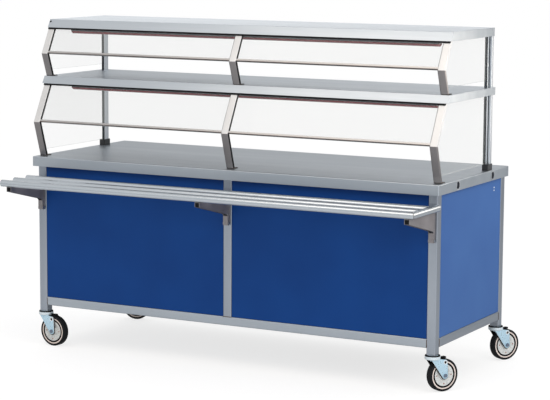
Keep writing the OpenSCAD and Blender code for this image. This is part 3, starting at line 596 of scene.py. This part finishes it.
def finish_solids():
    """Gives each solid the finish of the real piece."""
    finishes = {
        sheet_steel: ("counter_top", "front_rail", "rear_rail", "undershelf", "middle_shelf", "top_shelf"),
        rail_steel: ("knee_rails",),
        upright_steel: ("leg_front_left", "leg_front_right", "leg_rear_left", "leg_rear_right",
                        "centre_post", "hinge_lugs", "hinge_pins"),
        white_plating_and_highlight: ("panel_rivets",),
        rear_steel: ("rear_posts", "glass_channels", "channel_screws"),
        cross_steel: ("end_rails", "top_rails"),
        cup_steel: ("link_cups",),
        slide_steel: ("slide_front_bar", "slide_middle_bar", "slide_rear_bar", "slide_end_bar",
                      "bar_end_caps"),
        post_steel: ("lower_posts", "upper_posts"),
        # Foot plates painted near black: painted shadow
        bracket_steel: ("slide_brackets",),
        foot_plate_shadow: ("post_feet",),
        front_blue: ("front_panel_left", "front_panel_right"),
        end_blue: ("end_panel_left", "end_panel_right"),
        guard_glass: ("lower_front_glass", "upper_front_glass", "lower_end_glass", "upper_end_glass"),
        lamp_grey: ("lamp_housings",),
        lens_red: ("lamp_lenses",),
        black_rubber_and_shade: ("shelf_trims", "dust_rings"),
        shoe_black: ("post_shoes",),
        zinc: ("caster_stems",)
        + tuple("%s_%s" % (kind, side) for kind in ("fork", "axle") for side in CASTERS),
        hub_white: tuple("hub_%s" % side for side in CASTERS),
        tyre_rubber: tuple("tyre_%s" % side for side in CASTERS),
    }
    for material, names in finishes.items():
        for name in names:
            paint(nodes[name], material)


# Display stand


def cut(piece, point, normal, fill=True):
    """Cuts off what lies beyond a plane through a point."""
    activate(piece)
    bpy.ops.object.mode_set(mode="EDIT")
    bpy.ops.mesh.select_all(action="SELECT")
    bpy.ops.mesh.bisect(plane_co=point, plane_no=normal, use_fill=fill, clear_outer=True)
    bpy.ops.object.mode_set(mode="OBJECT")


def mitred_bar(tier, x, width, front, back, radius, material):
    """A bar along a tier's side line, from front to back behind its face: two lengths cut on the knee's
    mitre and joined there."""
    shape = TIERS[tier]
    knee = at(x, shape.knee_y, shape.knee_z)
    mitre = math.radians((shape.lean - BACK_LEAN) / 2)
    halves = []
    for tilt, end, side in ((shape.lean, shape.floor + FOOT_T, -1), (-BACK_LEAN, shape.roof, 1)):
        length = 1.4 * abs(end - shape.knee_z)
        deselect()
        bpy.ops.mesh.primitive_cube_add(size=1, scale=(width * MM, (back - front) * MM, 2 * length * MM))
        half = bpy.context.object
        place(half, Matrix.Translation((0, (front + back) / 2 * MM, 0)))
        for edge in half.data.edges:
            a, b = (half.data.vertices[i].co for i in edge.vertices)
            edge.select = abs(a.z - b.z) > length * MM
        activate(half)
        bpy.ops.object.mode_set(mode="EDIT")
        bpy.ops.mesh.select_mode(type="EDGE")
        bpy.ops.mesh.bevel(offset=radius * MM, segments=4)
        bpy.ops.object.mode_set(mode="OBJECT")
        place(half, Matrix.Translation(knee) @ Matrix.Rotation(math.radians(tilt), 4, "X"))
        cut(half, knee, Vector((0, math.sin(mitre), -math.cos(mitre))) * side, fill=False)
        cut(half, (0, 0, end * MM), (0, 0, side))
        halves.append(half)
    bar = joined(halves)
    activate(bar)
    bpy.ops.object.mode_set(mode="EDIT")
    bpy.ops.mesh.select_all(action="SELECT")
    bpy.ops.mesh.remove_doubles(threshold=0.00005)
    bpy.ops.object.mode_set(mode="OBJECT")
    level_normals(bar)
    paint(bar, material)
    return bar


def make_posts():
    """The posts, darker below the knee as painted shade, and black strips at their sides, painted shade in
    the gaps between them and what stands beside them.
    """
    for tier, shape in TIERS.items():
        posts = [mitred_bar(tier, x, POST_W, 0, POST_D, 2.4, post_steel) for x in (-POST_X, 0, POST_X)]
        row = joined(posts)
        # The faces below the knee take the darker steel: painted shade
        row.data.materials.append(post_shade)
        for face in row.data.polygons:
            if face.center.z < shape.knee_z * MM:
                face.material_index = 1
        fit(row, tier + "_mitred_posts", "counter", "dark_stainless", tier + "_posts")
        sides = (-POST_X + POST_W / 2, -POST_W / 2, POST_W / 2, POST_X - POST_W / 2)
        # Black strips at the posts' sides stand in for the shade in the gaps: painted shade
        shade_strips = [mitred_bar(tier, x, 2.4, 1.6, POST_D - 0.6, 0.5, black_rubber_and_shade) for x in sides]
        fit(joined(shade_strips), tier + "_post_shade_strips", "counter", "black_plastic")


def make_glass():
    """Panes whose ground edges are painted pale, their frosted colour with a painted highlight; the left end
    panes have a clearer film, painted light.
    """
    lean = math.radians(BACK_LEAN)
    ways = {"front": Vector((0, -math.cos(lean), math.sin(lean))), "end": Vector((1, 0, 0))}
    for tier in TIERS:
        for kind, way in ways.items():
            name = "%s_%s_glass" % (tier, kind)
            panes = rounded_copy(name, name + "_panes", "counter", "glass", guard_glass, 0.8)
            panes.data.materials.append(glass_edge_highlight)
            panes.data.materials.append(far_glass_painted_light)
            for face in panes.data.polygons:
                if abs(face.normal.dot(way)) < 0.8:
                    face.material_index = 1
                elif kind == "end" and face.center.x < PLAN_X:
                    face.material_index = 2


def make_knee_rails():
    """The rails, with hems along their lower edges painted dark as shade."""
    shaded_hems = []
    lean = Matrix.Rotation(math.radians(-BACK_LEAN), 4, "X")
    for tier in TIERS.values():
        plane = Matrix.Translation(at(0, tier.knee_y, tier.knee_z)) @ lean
        for s in (-1, 1):
            middle = (s * POST_X / 2, POST_D / 2 - 5.5, KNEE_RAIL_LIFT + 1.3)
            shaded_hem = plain_block(middle, (POST_X - POST_W, 1.4, 2.6), 0.6)
            place(shaded_hem, plane)
            paint(shaded_hem, rail_shade)
            shaded_hems.append(shaded_hem)
    fit(joined(shaded_hems), "knee_rail_hems_painted_shade", "counter", "dark_stainless")
    rounded_copy("knee_rails", "glass_sill_rails", "counter", "stainless", rail_steel, 0.5)


# Welds


def weld_bead(start, end, radius_mm=1.6):
    """A run of overlapping weld ripples between two points in mm."""
    a, b = at(*start), at(*end)
    pitch = radius_mm * 0.9 * MM
    deselect()
    bpy.ops.mesh.primitive_uv_sphere_add(segments=10, ring_count=6, radius=radius_mm * MM, scale=(0.7, 1, 1))
    bead = bpy.context.object
    place(bead, Matrix.Identity(4))
    activate(bead)
    row = bead.modifiers.new("ripples", "ARRAY")
    row.count = int((b - a).length / pitch) + 1
    row.use_relative_offset = False
    row.use_constant_offset = True
    row.constant_offset_displace = (pitch, 0, 0)
    bpy.ops.object.modifier_apply(modifier=row.name)
    bpy.ops.object.shade_smooth()
    place(bead, Matrix.Translation(a) @ (b - a).to_track_quat("X", "Z").to_matrix().to_4x4())
    paint(bead, weld_metal)
    return bead


def make_welds():
    """Beads where the tubes of the frame meet, and round the feet of the display posts."""
    half = LEG_W / 2
    beads = [weld_bead((-half, FRAME_FRONT + 0.6, RAIL_TOP), (half, FRAME_FRONT + 0.6, RAIL_TOP), 2)]
    for s in (-1, 1):
        inner = s * (LEG_X - half)
        for z in (RAIL_BOTTOM, RAIL_TOP):
            beads.append(weld_bead((inner, FRAME_FRONT + 3, z), (inner, FRAME_FRONT + 24, z)))
            beads.append(weld_bead((inner, FRAME_REAR - 3, z), (inner, FRAME_REAR - 24, z)))
        for y in (FRAME_FRONT, FRAME_REAR):
            beads.append(weld_bead((inner, y, RAIL_BOTTOM + 3), (inner, y, RAIL_TOP - 3)))
        outer = s * (LEG_X + half)
        for y in (FRAME_FRONT + LEG_W, FRAME_REAR - LEG_W):
            beads.append(weld_bead((outer, y, RAIL_BOTTOM + 3), (outer, y, RAIL_TOP - 3)))
    for tier in TIERS.values():
        heel = tier.knee_y + (tier.knee_z - tier.floor) * math.tan(math.radians(tier.lean))
        z = tier.floor + FOOT_T + 0.2
        for x in (-POST_X, 0, POST_X):
            for s in (-1, 1):
                side = x + s * (POST_W / 2 + 0.6)
                beads.append(weld_bead((side, heel + 2, z), (side, heel + POST_D, z), 1.5))
    fit(joined(beads), "frame_welds", "counter", "dark_stainless")


# Shelves and tray slide


def make_shelf_details():
    """A black disc at the left end of the top shelf's front edge, painted shade for a relief hole, and the
    lamps' end caps and screws.
    """
    tier = TIERS["upper"]
    lip_y = tier.knee_y + (tier.roof - tier.knee_z) * BACK_SLOPE - 0.3
    lip_y -= SHEET * (1 / math.cos(FLARE) - math.tan(FLARE))
    down = 11.5
    hole = (TOP_SHELF_END + 7, lip_y - down * math.sin(FLARE), TOP_SHELF - down * math.cos(FLARE))
    relief_shade = disc(hole, (0, -math.cos(FLARE), math.sin(FLARE)), 4.4, 0.5, 0.15)
    paint(relief_shade, black_rubber_and_shade)
    fit(relief_shade, "corner_relief_shade", "counter", "black_plastic")
    ends, screws = [], []
    for tier in TIERS.values():
        low, high = tier.roof - LAMP_H - 0.5, tier.roof - LAMP_H + 3.5
        for s in (-1, 1):
            x = s * LAMP_END
            for y in (LAMP_Y - 14, LAMP_Y + 14):
                screws.append(disc((x, y, tier.roof - 14), (s, 0, 0), 3.2, 1.4, 0.6))
            ends.append(block((x - 1.2, LAMP_Y - 23, low), (x + 1.2, LAMP_Y + 23, high), 0.4))
    for screw in screws:
        paint(screw, upright_steel)
    for end in ends:
        paint(end, lamp_grey)
    fit(joined(screws + ends), "lamp_end_fittings", "counter", "dark_stainless")


def make_link_cups():
    """The pressed cups, with the rear half of each bore's wall painted dark grey as shade."""
    cups = rounded_copy("link_cups", "link_cup_pressings", "counter", "stainless", cup_steel, 0.3)
    cups.data.materials.append(cup_wall_shade)
    low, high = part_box("link_cups")
    z = (low.z + high.z) / 2
    for face in cups.data.polygons:
        wall = abs(face.normal.x) < 0.4 and face.normal.y < 0
        for y in CUPS_Y:
            arm = face.center - at(0, y, z / MM)
            reach = math.hypot(arm.y, arm.z) / MM
            if wall and arm.y > 3 * MM and CUP_WALL[0] < reach < CUP_WALL[1]:
                face.material_index = 1


def make_lenses():
    """A bulging lens in the mouth of each lamp housing."""
    half_width, bulge = 22.6, 11
    lenses = []
    for tier in TIERS.values():
        lens = plain_round(1 / MM, 1 / MM, 64)
        place(lens, Matrix.Rotation(math.radians(90), 4, "Y"))
        place(lens, Matrix.Diagonal((2 * LAMP_END * MM, half_width * MM, bulge * MM, 1)))
        cut(lens, (0, 0, 0), (0, 0, 1))
        level_normals(lens)
        place(lens, Matrix.Translation(at(0, LAMP_Y, tier.roof - LAMP_H)))
        paint(lens, lens_red)
        lenses.append(lens)
    fit(joined(lenses), "bulging_lenses", "counter", "lamp_lens", "lamp_lenses")


def make_channel_shade_strips():
    """Black strips along the mouth of each glass channel and between it and the rear post: painted shade in
    the gaps there.
    """
    shade_strips = []
    for low, high in ((SHOE_TOP, TIERS["lower"].roof), (TIERS["upper"].floor, TIERS["upper"].roof)):
        for s in (-1, 1):
            for a, b, front, back in (
                (3.2, 5.6, CHANNEL_FRONT - 0.5, CHANNEL_FRONT + 1.2),
                (-5.6, -3.2, CHANNEL_FRONT - 0.5, CHANNEL_FRONT + 1.2),
                (5.3, 7.0, CHANNEL_BACK - 1.8, CHANNEL_BACK - 0.1),
            ):
                x0, x1 = sorted((s * (POST_X + a), s * (POST_X + b)))
                shade_strips.append(block((x0, front, low), (x1, back, high), 0.3))
    for shade_strip in shade_strips:
        paint(shade_strip, black_rubber_and_shade)
    fit(joined(shade_strips), "channel_shade_strips", "counter", "black_plastic")


def ring_weld(centre, way, radius, stretch):
    """A thin fillet round a tube's joint: a ring about way, stretched sideways for a mitre."""
    deselect()
    bpy.ops.mesh.primitive_torus_add(
        major_radius=radius * MM, minor_radius=0.8 * MM, major_segments=64, minor_segments=8
    )
    ring = bpy.context.object
    bpy.ops.object.shade_smooth()
    place(ring, Matrix.Diagonal((stretch, 1, 1, 1)))
    turn = Vector(way).to_track_quat("Z", "Y").to_matrix().to_4x4()
    place(ring, Matrix.Translation(at(*centre)) @ turn)
    paint(ring, weld_metal)
    return ring


def make_slide_details():
    """Fillets where the slide's tubes meet, and beads where they lie on the brackets."""
    z = SLIDE_TOP + BAR_R
    x = HALF_L - BAR_R
    welds = [ring_weld((x, BARS_Y[2], z), (1, 1, 0), BAR_R, math.sqrt(2))]
    face = x - BAR_R - 0.4
    for y in BARS_Y[:2]:
        for s in (1, -1):
            welds.append(weld_bead((face, y - 6, z + s * 9), (face, y + 6, z + s * 9), 1.3))
    low = SLIDE_TOP + 0.6
    for bracket in (-LEG_X, 0, LEG_X):
        for y in (bar + side * 3.2 for bar in BARS_Y[:2] for side in (-1, 1)):
            welds.append(weld_bead((bracket - 9, y, low), (bracket + 9, y, low), 1.2))
    fit(joined(welds), "slide_welds", "tray_slide", "dark_stainless")


def make_bracket_details():
    """Guard plates in front of the hinge lugs, each with a screw, washers on the pins, and black blocks in
    the brackets' open noses: painted shade."""
    plates, nose_shades = [], []
    face = PIN_Y - 8.6
    nose = BARS_Y[2]
    for x in (-LEG_X, 0, LEG_X):
        plates.append(block((x - 10.6, face, PIN_Z - 7.4), (x + 10.6, PIN_Y - 7.95, PIN_Z + 31.5), 0.25))
        plates.append(disc((x, face, PIN_Z + 4), (0, -1, 0), 3.4, 1.2, 0.5))
        for s in (-1, 1):
            plates.append(disc((x + s * 11.3, PIN_Y, PIN_Z), (s, 0, 0), 7.4, 0.8, 0.2))
        # A black block in the open nose: painted shade
        nose_shades.append(block((x - 8.8, nose - 2, SLIDE_TOP - 18.6), (x + 8.8, nose + 4, SLIDE_TOP - 2), 0.6))
    for plate in plates:
        paint(plate, bracket_steel)
    for plug in nose_shades:
        paint(plug, black_rubber_and_shade)
    fit(joined(plates), "hinge_guards", "tray_slide", "dark_stainless")
    fit(joined(nose_shades), "bracket_nose_shade", "tray_slide", "black_plastic")


# Casters


def inset_steps(piece, side, steps):
    """Shapes one end of a round body by insets, each a width and a rise in mm."""
    ends = max(v.co.z for v in piece.data.vertices)
    select_faces(piece, lambda centre, normal: normal.z * side > 0.9 and abs(centre.z - side * ends) < 1e-5)
    for width, rise in steps:
        bpy.ops.mesh.inset(thickness=width * MM, depth=rise * MM)
    bpy.ops.object.mode_set(mode="OBJECT")


def wheel_body():
    """The moulded wheel body: a rim, a groove, a disc with rivets, a dish and a boss."""
    body = plain_round(RIM_R, 27, 96)
    # Insets from the edge inwards, in that order
    steps = ((1, 0.8), (4.6, 0), (0.5, -4.5), (6.3, 0), (0.5, 4), (8.5, 0), (3, -1.5),
             (12, -1), (1.5, 4), (3, 1.4), (0.6, -0.2), (5, 0))
    for side in (1, -1):
        inset_steps(body, side, steps)
    paint(body, hub_white, groove_dark, rim_highlight)
    # Painted highlight on the rim; black in the groove inside it
    for face in body.data.polygons:
        reach = math.hypot(face.center.x, face.center.y) / MM
        if reach > 50.2:
            face.material_index = 2
        elif reach > 43.0:
            face.material_index = 1
    soften(body, 0.4, angle=30)
    rivets = []
    for side in (1, -1):
        for turn in range(4):
            angle = math.radians(90 * turn)
            rivet = plain_round(2.6, 1.6, 20)
            middle = Vector((34 * math.cos(angle), 34 * math.sin(angle), side * 13.6))
            place(rivet, Matrix.Translation(middle * MM))
            soften(rivet, 0.7, segments=3)
            paint(rivet, rivet_brown)
            rivets.append(rivet)
    return joined([body] + rivets)


def wheel_tyre():
    """A solid tyre with round shoulders."""
    tyre = plain_round(WHEEL_R, TREAD_W - 8, 96)
    for side in (1, -1):
        inset_steps(tyre, side, ((0.4, 1.1), (0.8, 1.1), (1.2, 0.8), (1.5, 0.6), (2.1, 0.4), (1.5, 0)))
    bore = plain_round(RIM_R + 0.3, 2 * TREAD_W, 96)
    activate(tyre)
    hollow = tyre.modifiers.new("bore", "BOOLEAN")
    hollow.operation = "DIFFERENCE"
    hollow.object = bore
    bpy.ops.object.modifier_apply(modifier=hollow.name)
    bpy.data.objects.remove(bore)
    paint(tyre, tyre_rubber)
    level_normals(tyre)
    return tyre


def caster_turn(side):
    """A caster's heading as a turn."""
    return Matrix.Rotation(math.radians(CASTERS[side].heading), 4, "Z")


def behind_swivel(side, z):
    """The point at a height in mm where a caster's trail puts its axle and its fork's eyes."""
    return at(CASTERS[side].x, CASTERS[side].y, z) + caster_turn(side) @ Vector((TRAIL * MM, 0, 0))


def fork_gap_shade(s):
    """A black plate between a fork plate and the wheel, a little larger than the fork plate: painted shade
    in the gap between them.
    """
    rounds = []
    for reach, height, radius in ((-14, EYE_Z + 11, 3), (TRAIL, EYE_Z, 12), (TRAIL, WHEEL_R, 16.5)):
        piece = plain_round(radius, 0.9, 40)
        place(piece, Matrix.Translation((reach * MM, s * 18.3 * MM, height * MM)) @ ALONG_Y)
        rounds.append(piece)
    plate = joined(rounds)
    activate(plate)
    bpy.ops.object.mode_set(mode="EDIT")
    bpy.ops.mesh.select_all(action="SELECT")
    bpy.ops.mesh.convex_hull()
    bpy.ops.mesh.select_all(action="SELECT")
    bpy.ops.mesh.dissolve_limited(angle_limit=math.radians(1))
    bpy.ops.object.mode_set(mode="OBJECT")
    soften(plate, 0.2)
    paint(plate, gap_shade_black)
    return plate


def fork_fittings(side):
    """A caster's small parts: plugs in the fork's eyes, washers under the nuts, black plates beside the
    wheel as painted shade, and black blocks above the wheel behind the swivel cup."""
    plug = (PLATE_FACE + 0.5, EYE_Z, 6.8, 0.8, black_rubber_and_shade)
    washer = (PLATE_FACE, WHEEL_R, 10.5, 1.1, zinc)
    pieces = []
    for s in (-1, 1):
        for reach, height, radius, thick, finish in (plug, washer):
            piece = plain_round(radius, thick, 36)
            soften(piece, 0.3)
            place(piece, Matrix.Translation((TRAIL * MM, s * reach * MM, height * MM)) @ ALONG_Y)
            paint(piece, finish)
            pieces.append(piece)
        pieces.append(fork_gap_shade(s))
    for centre, size in (((40, 0, 135.5), (28, 10, 4)), ((52, 0, 134.2), (15, 15, 7))):
        black_block = plain_block(centre, size, 1.2)
        paint(black_block, black_rubber_and_shade)
        pieces.append(black_block)
    for piece in pieces:
        place(piece, Matrix.Translation(at(CASTERS[side].x, CASTERS[side].y, 0)) @ caster_turn(side))
    return joined(pieces)


def colour_fork(fork, side):
    """Painted highlights: white on the cut edges of a fork's plates and round its eyes, pale on its cup."""
    fork.data.materials.append(white_plating_and_highlight)
    fork.data.materials.append(cup_zinc_highlight)
    eye = behind_swivel(side, EYE_Z)
    across = caster_turn(side) @ Vector((0, 1, 0))
    for face in fork.data.polygons:
        arm = face.center - eye
        reach = arm.dot(across)
        edge = face.center.z < PLATE_TOP * MM and abs(face.normal.dot(across)) < 0.9
        if edge or abs(reach) / MM > PLATE_FACE and (arm - across * reach).length < 9 * MM:
            face.material_index = 1
        elif face.center.z > CUP_FOOT * MM:
            face.material_index = 2


def make_casters():
    """Wheels, tyres, forks, axles and fittings of the four casters."""
    places = [
        Matrix.Translation(behind_swivel(side, WHEEL_R)) @ caster_turn(side) @ ALONG_Y for side in CASTERS
    ]
    for side, body in zip(CASTERS, copies(wheel_body(), places)):
        fit(body, "wheel_body_" + side, "wheel_" + side, "hub_white", "hub_" + side)
    for side, tyre in zip(CASTERS, copies(wheel_tyre(), places)):
        fit(tyre, "wheel_tyre_" + side, "wheel_" + side, "tyre_black", "tyre_" + side)
    for side in CASTERS:
        fork = rounded_copy("fork_" + side, "caster_fork_" + side, "swivel_" + side, "zinc", zinc, 1.3)
        colour_fork(fork, side)
        rounded_copy("axle_" + side, "caster_axle_" + side, "swivel_" + side, "zinc", nut_steel, 0.6)
        fit(fork_fittings(side), "caster_fittings_" + side, "swivel_" + side, "zinc")


# Rounded stand-ins


def make_rounded():
    """Folded and cut pieces with the broken edges of the real ones."""
    sheets = (("counter_top", 0.7), ("undershelf", 0.6), ("middle_shelf", 0.7), ("top_shelf", 0.7))
    for node, width in sheets:
        rounded_copy(node, node + "_sheet", "counter", "stainless", sheet_steel, width)
    rounded_copy("slide_brackets", "folded_brackets", "tray_slide", "dark_stainless", bracket_steel, 0.7)
    # Foot plates painted near black: painted shadow
    rounded_copy("post_feet", "post_foot_plates", "counter", "dark_stainless", foot_plate_shadow, 0.8)
    rounded_copy("post_shoes", "rear_post_shoes", "counter", "black_plastic", shoe_black, 1.0)
    rounded_copy("shelf_trims", "shelf_trim_strips", "counter", "black_plastic", black_rubber_and_shade, 1.0)
    for side in ("left", "right"):
        for kind, finish in (("front", front_blue), ("end", end_blue)):
            rounded_copy("%s_panel_%s" % (kind, side), "%s_panel_sheet_%s" % (kind, side),
                         "counter", kind + "_panel_blue", finish, 0.6)


make_camera()
make_world()
make_floor()
area_light("key_softbox", (-300, -2900, 4500), (0, 100, 1000), (4.0, 2.6), 56, "#FFF1E2")
area_light("side_softbox", (4600, -1200, 2600), (300, 200, 700), (2.4, 2.4), 70)
area_light("back_softbox", (-400, 1150, 1640), (-100, 300, 1400), (2.8, 0.3), 2.6)
area_light("shelf_end_panel", (1605, 975, 1170), (940, 350, 1250), (0.6, 0.55), 2.8, "#FFF4E6")
finish_solids()
make_rounded()
make_posts()
make_glass()
make_knee_rails()
make_shelf_details()
make_link_cups()
make_lenses()
make_channel_shade_strips()
make_welds()
make_slide_details()
make_bracket_details()
make_casters()
